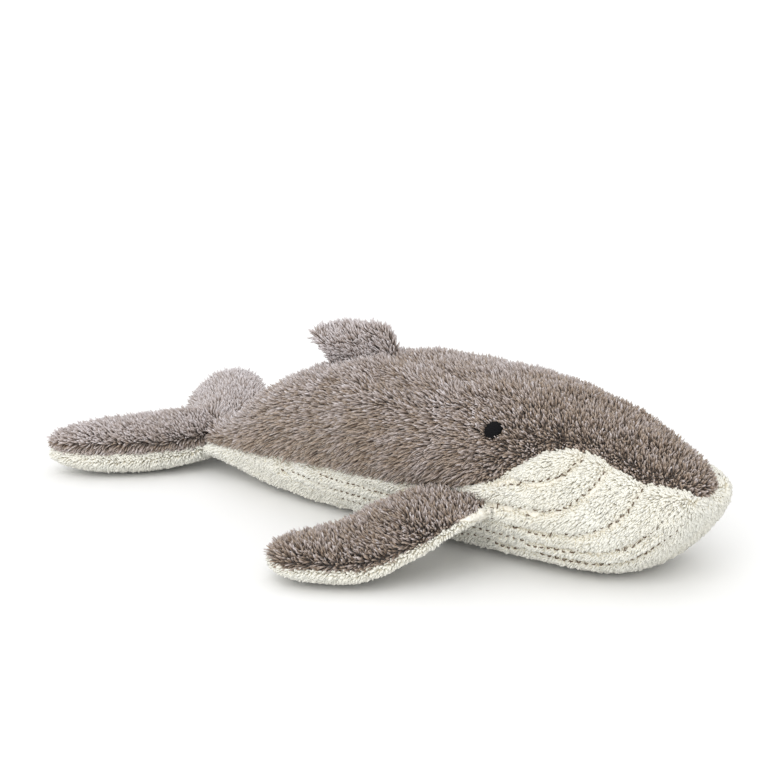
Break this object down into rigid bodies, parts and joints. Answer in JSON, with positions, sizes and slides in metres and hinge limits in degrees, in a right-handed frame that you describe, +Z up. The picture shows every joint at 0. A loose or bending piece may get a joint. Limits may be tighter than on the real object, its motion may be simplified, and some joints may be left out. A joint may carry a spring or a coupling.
{
  "type": "plush humpback whale",
  "caption": "Stuffed plush humpback whale lying on its belly, grey back and cream pleated throat, with soft flippers, flukes and dorsal fin.",
  "frame": {"origin": "on the surface the whale lies on, under the middle of its overall length and width", "axes": "+X towards the snout, +Y to the whale's left, +Z up"},
  "size_m": [0.475, 0.3334, 0.1198],
  "materials": {
    "grey_plush": "long soft pile, lilac grey tips over a darker taupe root",
    "cream_plush": "soft cream pile",
    "wadding": "loose polyester fibre",
    "seam_thread": "matt sewing thread",
    "pleat_thread": "matt brown sewing thread",
    "eye_thread": "black satin stitch"
  },
  "bodies": {
    "trunk": {"back_panel_right": "grey_plush", "back_panel_left": "grey_plush", "belly_panel": "cream_plush", "body_filling": "wadding", "back_seam_thread": "seam_thread", "side_seam_thread_right": "seam_thread", "side_seam_thread_left": "seam_thread", "pleat_thread_right": "pleat_thread", "pleat_thread_left": "pleat_thread", "eye_right": "eye_thread", "eye_left": "eye_thread"},
    "tail": {"tail_back_panel_right": "grey_plush", "tail_back_panel_left": "grey_plush", "tail_belly_panel": "cream_plush", "tail_filling": "wadding", "tail_seam_thread": "seam_thread"},
    "dorsal_fin": {"dorsal_fin_panel_right": "grey_plush", "dorsal_fin_panel_left": "grey_plush", "dorsal_fin_filling": "wadding", "dorsal_fin_seam_thread": "seam_thread"},
    "flipper_right": {"flipper_right_top_panel": "grey_plush", "flipper_right_under_panel": "cream_plush", "flipper_right_filling": "wadding", "flipper_right_seam_thread": "seam_thread"},
    "flipper_left": {"flipper_left_top_panel": "grey_plush", "flipper_left_under_panel": "cream_plush", "flipper_left_filling": "wadding", "flipper_left_seam_thread": "seam_thread"},
    "flukes": {"flukes_top_panel": "grey_plush", "flukes_under_panel": "cream_plush", "flukes_filling": "wadding", "flukes_seam_thread": "seam_thread"}
  },
  "joints": [
    {"name": "tail_sway", "type": "hinge", "parent": "trunk", "child": "tail", "pos_m": [-0.09845, 0, 0.045], "axis": [0, 0, 1], "range_deg": [-20, 20], "stiffness_Nm_per_rad": 0.04},
    {"name": "flukes_flap", "type": "hinge", "parent": "tail", "child": "flukes", "pos_m": [-0.14745, 0, 0.022], "axis": [0, 1, 0], "range_deg": [-20, 35], "stiffness_Nm_per_rad": 0.03},
    {"name": "dorsal_fin_flop", "type": "hinge", "parent": "trunk", "child": "dorsal_fin", "pos_m": [-0.01845, 0, 0.10375], "axis": [0.9639, 0, 0.2661], "range_deg": [-40, 40], "stiffness_Nm_per_rad": 0.01},
    {"name": "flipper_right_flap", "type": "hinge", "parent": "trunk", "child": "flipper_right", "pos_m": [0.09755, -0.07298, 0.043], "axis": [-0.9703, 0, -0.2419], "range_deg": [-25, 45], "stiffness_Nm_per_rad": 0.02},
    {"name": "flipper_left_flap", "type": "hinge", "parent": "trunk", "child": "flipper_left", "pos_m": [0.09755, 0.07298, 0.043], "axis": [0.9703, 0, 0.2419], "range_deg": [-25, 45], "stiffness_Nm_per_rad": 0.02}
  ]
}
